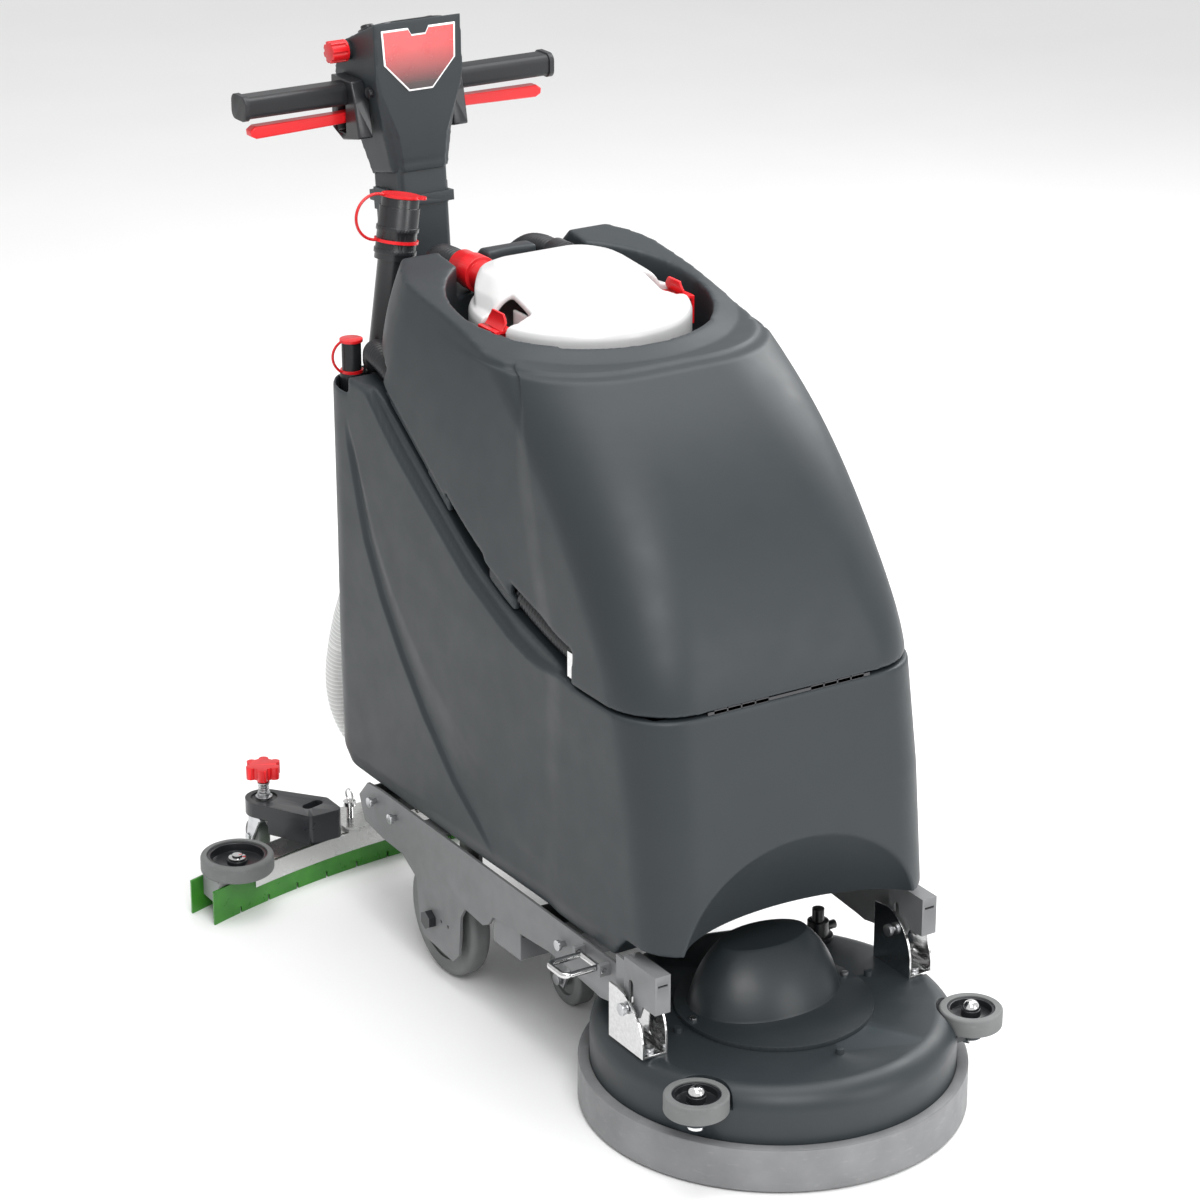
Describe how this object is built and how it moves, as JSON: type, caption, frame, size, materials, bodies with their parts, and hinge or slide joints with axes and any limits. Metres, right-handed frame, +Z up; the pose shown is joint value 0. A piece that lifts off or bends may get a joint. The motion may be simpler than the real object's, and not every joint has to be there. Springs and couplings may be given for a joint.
{
  "type": "walk-behind floor scrubber",
  "caption": "Battery walk-behind floor scrubber with a round brush deck, tilting recovery tank over a solution tank, curved squeegee, lift pedal and upright control handle.",
  "frame": {"origin": "on the floor under the centre of the round brush deck", "axes": "+Z up, front of the machine towards -Y, the operator behind it at +Y, the machine's right-hand side at -X"},
  "size_m": [0.792, 1.2633, 1.206],
  "materials": {
    "tank_grey": "satin, fine rotomoulded grain",
    "deck_grey": "satin",
    "motor_cover_grey": "satin",
    "chassis_paint": "satin powder coat",
    "steel": "brushed",
    "grey_rubber": "matte",
    "fork_zinc": "zinc plated",
    "column_paint": "satin powder coat",
    "black_plastic": "satin",
    "red_plastic": "semi-gloss",
    "lid_white": "semi-gloss, slightly translucent",
    "clip_red": "semi-gloss",
    "hose_black": "satin, corrugated",
    "hose_white": "corrugated",
    "blade_rubber": "satin",
    "bristle": "bristle",
    "motor_metal": "painted",
    "pedal_wire": "polished"
  },
  "bodies": {
    "chassis": {"chassis_side_plates": "chassis_paint", "crossmembers": "chassis_paint", "chassis_brackets": "chassis_paint", "wheel_axles": "steel", "lower_tank": "tank_grey", "battery_pack": "black_plastic", "vacuum_motor": "motor_metal", "tank_hinge_lower": "steel", "hose_sockets": "black_plastic", "drain_hose": "hose_black", "outlet_caps": "red_plastic", "squeegee_hose": "hose_white"},
    "deck_lift": {"deck_pins": "steel"},
    "deck": {"deck_shell": "deck_grey", "deck_skirt": "grey_rubber", "motor_cover": "motor_cover_grey", "brush_motor": "motor_metal", "deck_brackets": "steel", "deck_fasteners": "steel"},
    "brush_head": {"brush_drive": "motor_metal", "brush": "bristle"},
    "pedal": {"lift_pedal": "pedal_wire"},
    "tank_top": {"upper_tank": "tank_grey", "tank_hinge_upper": "steel", "separator_lid": "lid_white", "hose_cuffs": "red_plastic", "recovery_hose": "hose_black", "motor_hose": "hose_black"},
    "handle": {"handle_column": "column_paint", "head_housing": "tank_grey", "front_badge": "red_plastic", "control_panel": "black_plastic", "hand_grips": "black_plastic"},
    "key": {"red_key": "red_plastic"},
    "squeegee_carrier": {"swing_bracket": "steel"},
    "squeegee": {"squeegee_channel": "steel", "squeegee_blades": "blade_rubber", "squeegee_supports": "black_plastic"},
    "main_wheel_right": {"main_wheel_right": "grey_rubber"},
    "castor_fork_right": {"castor_fork_right": "fork_zinc"},
    "castor_wheel_right": {"castor_wheel_right": "grey_rubber"},
    "bumper_roller_right": {"bumper_roller_right": "grey_rubber"},
    "lid_clip_right": {"lid_clip_right": "clip_red"},
    "trigger_right": {"trigger_right": "red_plastic"},
    "panel_button_right": {"panel_button_right": "black_plastic"},
    "squeegee_roller_right": {"squeegee_roller_right": "grey_rubber"},
    "support_castor_right": {"support_castor_right": "fork_zinc"},
    "support_wheel_right": {"support_wheel_right": "grey_rubber"},
    "star_knob_right": {"star_knob_right": "red_plastic"},
    "main_wheel_left": {"main_wheel_left": "grey_rubber"},
    "castor_fork_left": {"castor_fork_left": "fork_zinc"},
    "castor_wheel_left": {"castor_wheel_left": "grey_rubber"},
    "bumper_roller_left": {"bumper_roller_left": "grey_rubber"},
    "lid_clip_left": {"lid_clip_left": "clip_red"},
    "trigger_left": {"trigger_left": "red_plastic"},
    "panel_button_left": {"panel_button_left": "black_plastic"},
    "squeegee_roller_left": {"squeegee_roller_left": "grey_rubber"},
    "support_castor_left": {"support_castor_left": "fork_zinc"},
    "support_wheel_left": {"support_wheel_left": "grey_rubber"},
    "star_knob_left": {"star_knob_left": "red_plastic"}
  },
  "joints": [
    {"name": "deck_lift_slide", "type": "slide", "parent": "chassis", "child": "deck_lift", "axis": [0, 0, 1], "range_m": [0, 0.03]},
    {"name": "deck_tilt", "type": "hinge", "parent": "deck_lift", "child": "deck", "pos_m": [0, 0.002, 0.182], "axis": [1, 0, 0], "range_deg": [-1.5, 1.5]},
    {"name": "brush_spin", "type": "hinge", "parent": "deck", "child": "brush_head", "pos_m": [0, 0, 0.084], "axis": [0, 0, 1], "continuous": true},
    {"name": "lift_pedal_hinge", "type": "hinge", "parent": "chassis", "child": "pedal", "pos_m": [-0.213, 0.092, 0.206], "axis": [0, -1, 0], "range_deg": [0, 25]},
    {"name": "recovery_tank_tilt", "type": "hinge", "parent": "chassis", "child": "tank_top", "pos_m": [0, -0.021, 0.5565], "axis": [1, 0, 0], "range_deg": [0, 65]},
    {"name": "handle_fold", "type": "hinge", "parent": "chassis", "child": "handle", "pos_m": [0, 0.835, 0.33], "axis": [1, 0, 0], "range_deg": [-14, 2]},
    {"name": "red_key_turn", "type": "hinge", "parent": "handle", "child": "key", "pos_m": [-0.08, 0.938, 1.158], "axis": [-1, 0, 0], "range_deg": [0, 90]},
    {"name": "squeegee_swing", "type": "hinge", "parent": "chassis", "child": "squeegee_carrier", "pos_m": [0, 0.66, 0.18], "axis": [0, 0, 1], "range_deg": [-12, 12], "deforming": ["squeegee_hose"]},
    {"name": "squeegee_lift", "type": "hinge", "parent": "squeegee_carrier", "child": "squeegee", "pos_m": [0, 0.7, 0.15], "axis": [1, 0, 0], "range_deg": [0, 14], "deforming": ["squeegee_hose"]},
    {"name": "main_wheel_right_spin", "type": "hinge", "parent": "chassis", "child": "main_wheel_right", "pos_m": [-0.173, 0.508, 0.084], "axis": [1, 0, 0], "continuous": true},
    {"name": "castor_right_swivel", "type": "hinge", "parent": "chassis", "child": "castor_fork_right", "pos_m": [-0.084, 0.317, 0.11], "axis": [0, 0, 1], "continuous": true},
    {"name": "castor_right_roll", "type": "hinge", "parent": "castor_fork_right", "child": "castor_wheel_right", "pos_m": [-0.084, 0.343, 0.04], "axis": [1, 0, 0], "continuous": true},
    {"name": "bumper_roller_right_spin", "type": "hinge", "parent": "deck", "child": "bumper_roller_right", "pos_m": [-0.205, -0.136, 0.115], "axis": [0, 0, 1], "continuous": true},
    {"name": "lid_clip_right_hinge", "type": "hinge", "parent": "tank_top", "child": "lid_clip_right", "pos_m": [-0.127, 0.439, 0.912], "axis": [0, 1, 0], "range_deg": [0, 80]},
    {"name": "trigger_right_squeeze", "type": "hinge", "parent": "handle", "child": "trigger_right", "pos_m": [-0.077, 0.928, 1.072], "axis": [0, 1, 0], "range_deg": [0, 3.3], "stiffness_Nm_per_rad": 2, "springref_deg": -8.59},
    {"name": "panel_button_right_press", "type": "slide", "parent": "handle", "child": "panel_button_right", "axis": [0, -0.3927, -0.9197], "range_m": [0, 0.002], "stiffness_N_per_m": 500, "springref_m": -0.0005},
    {"name": "squeegee_roller_right_spin", "type": "hinge", "parent": "squeegee", "child": "squeegee_roller_right", "pos_m": [-0.333, 0.824, 0.072], "axis": [0, 0, 1], "continuous": true},
    {"name": "support_castor_right_height", "type": "slide", "parent": "squeegee", "child": "support_castor_right", "axis": [0, 0, 1], "range_m": [0, 0.004]},
    {"name": "support_wheel_right_roll", "type": "hinge", "parent": "support_castor_right", "child": "support_wheel_right", "pos_m": [-0.232, 0.962, 0.033], "axis": [1, 0, 0], "continuous": true},
    {"name": "star_knob_right_turn", "type": "hinge", "parent": "squeegee", "child": "star_knob_right", "pos_m": [-0.232, 0.938, 0.14], "axis": [0, 0, 1], "range_deg": [0, 360]},
    {"name": "main_wheel_left_spin", "type": "hinge", "parent": "chassis", "child": "main_wheel_left", "pos_m": [0.173, 0.508, 0.084], "axis": [1, 0, 0], "continuous": true},
    {"name": "castor_left_swivel", "type": "hinge", "parent": "chassis", "child": "castor_fork_left", "pos_m": [0.084, 0.317, 0.11], "axis": [0, 0, 1], "continuous": true},
    {"name": "castor_left_roll", "type": "hinge", "parent": "castor_fork_left", "child": "castor_wheel_left", "pos_m": [0.084, 0.343, 0.04], "axis": [1, 0, 0], "continuous": true},
    {"name": "bumper_roller_left_spin", "type": "hinge", "parent": "deck", "child": "bumper_roller_left", "pos_m": [0.205, -0.136, 0.115], "axis": [0, 0, 1], "continuous": true},
    {"name": "lid_clip_left_hinge", "type": "hinge", "parent": "tank_top", "child": "lid_clip_left", "pos_m": [0.127, 0.439, 0.912], "axis": [0, -1, 0], "range_deg": [0, 80]},
    {"name": "trigger_left_squeeze", "type": "hinge", "parent": "handle", "child": "trigger_left", "pos_m": [0.077, 0.928, 1.072], "axis": [0, -1, 0], "range_deg": [0, 3.3], "stiffness_Nm_per_rad": 2, "springref_deg": -8.59},
    {"name": "panel_button_left_press", "type": "slide", "parent": "handle", "child": "panel_button_left", "axis": [0, -0.3927, -0.9197], "range_m": [0, 0.002], "stiffness_N_per_m": 500, "springref_m": -0.0005},
    {"name": "squeegee_roller_left_spin", "type": "hinge", "parent": "squeegee", "child": "squeegee_roller_left", "pos_m": [0.333, 0.824, 0.072], "axis": [0, 0, 1], "continuous": true},
    {"name": "support_castor_left_height", "type": "slide", "parent": "squeegee", "child": "support_castor_left", "axis": [0, 0, 1], "range_m": [0, 0.004]},
    {"name": "support_wheel_left_roll", "type": "hinge", "parent": "support_castor_left", "child": "support_wheel_left", "pos_m": [0.232, 0.962, 0.033], "axis": [1, 0, 0], "continuous": true},
    {"name": "star_knob_left_turn", "type": "hinge", "parent": "squeegee", "child": "star_knob_left", "pos_m": [0.232, 0.938, 0.14], "axis": [0, 0, 1], "range_deg": [0, 360]}
  ],
  "couplings": [
    {"joint": "lift_pedal_hinge", "follows": "deck_lift_slide", "rad_per_m": 14.5},
    {"joint": "support_castor_right_height", "follows": "star_knob_right_turn", "m_per_rad": 0.0006207},
    {"joint": "support_castor_left_height", "follows": "star_knob_left_turn", "m_per_rad": 0.0006207}
  ]
}
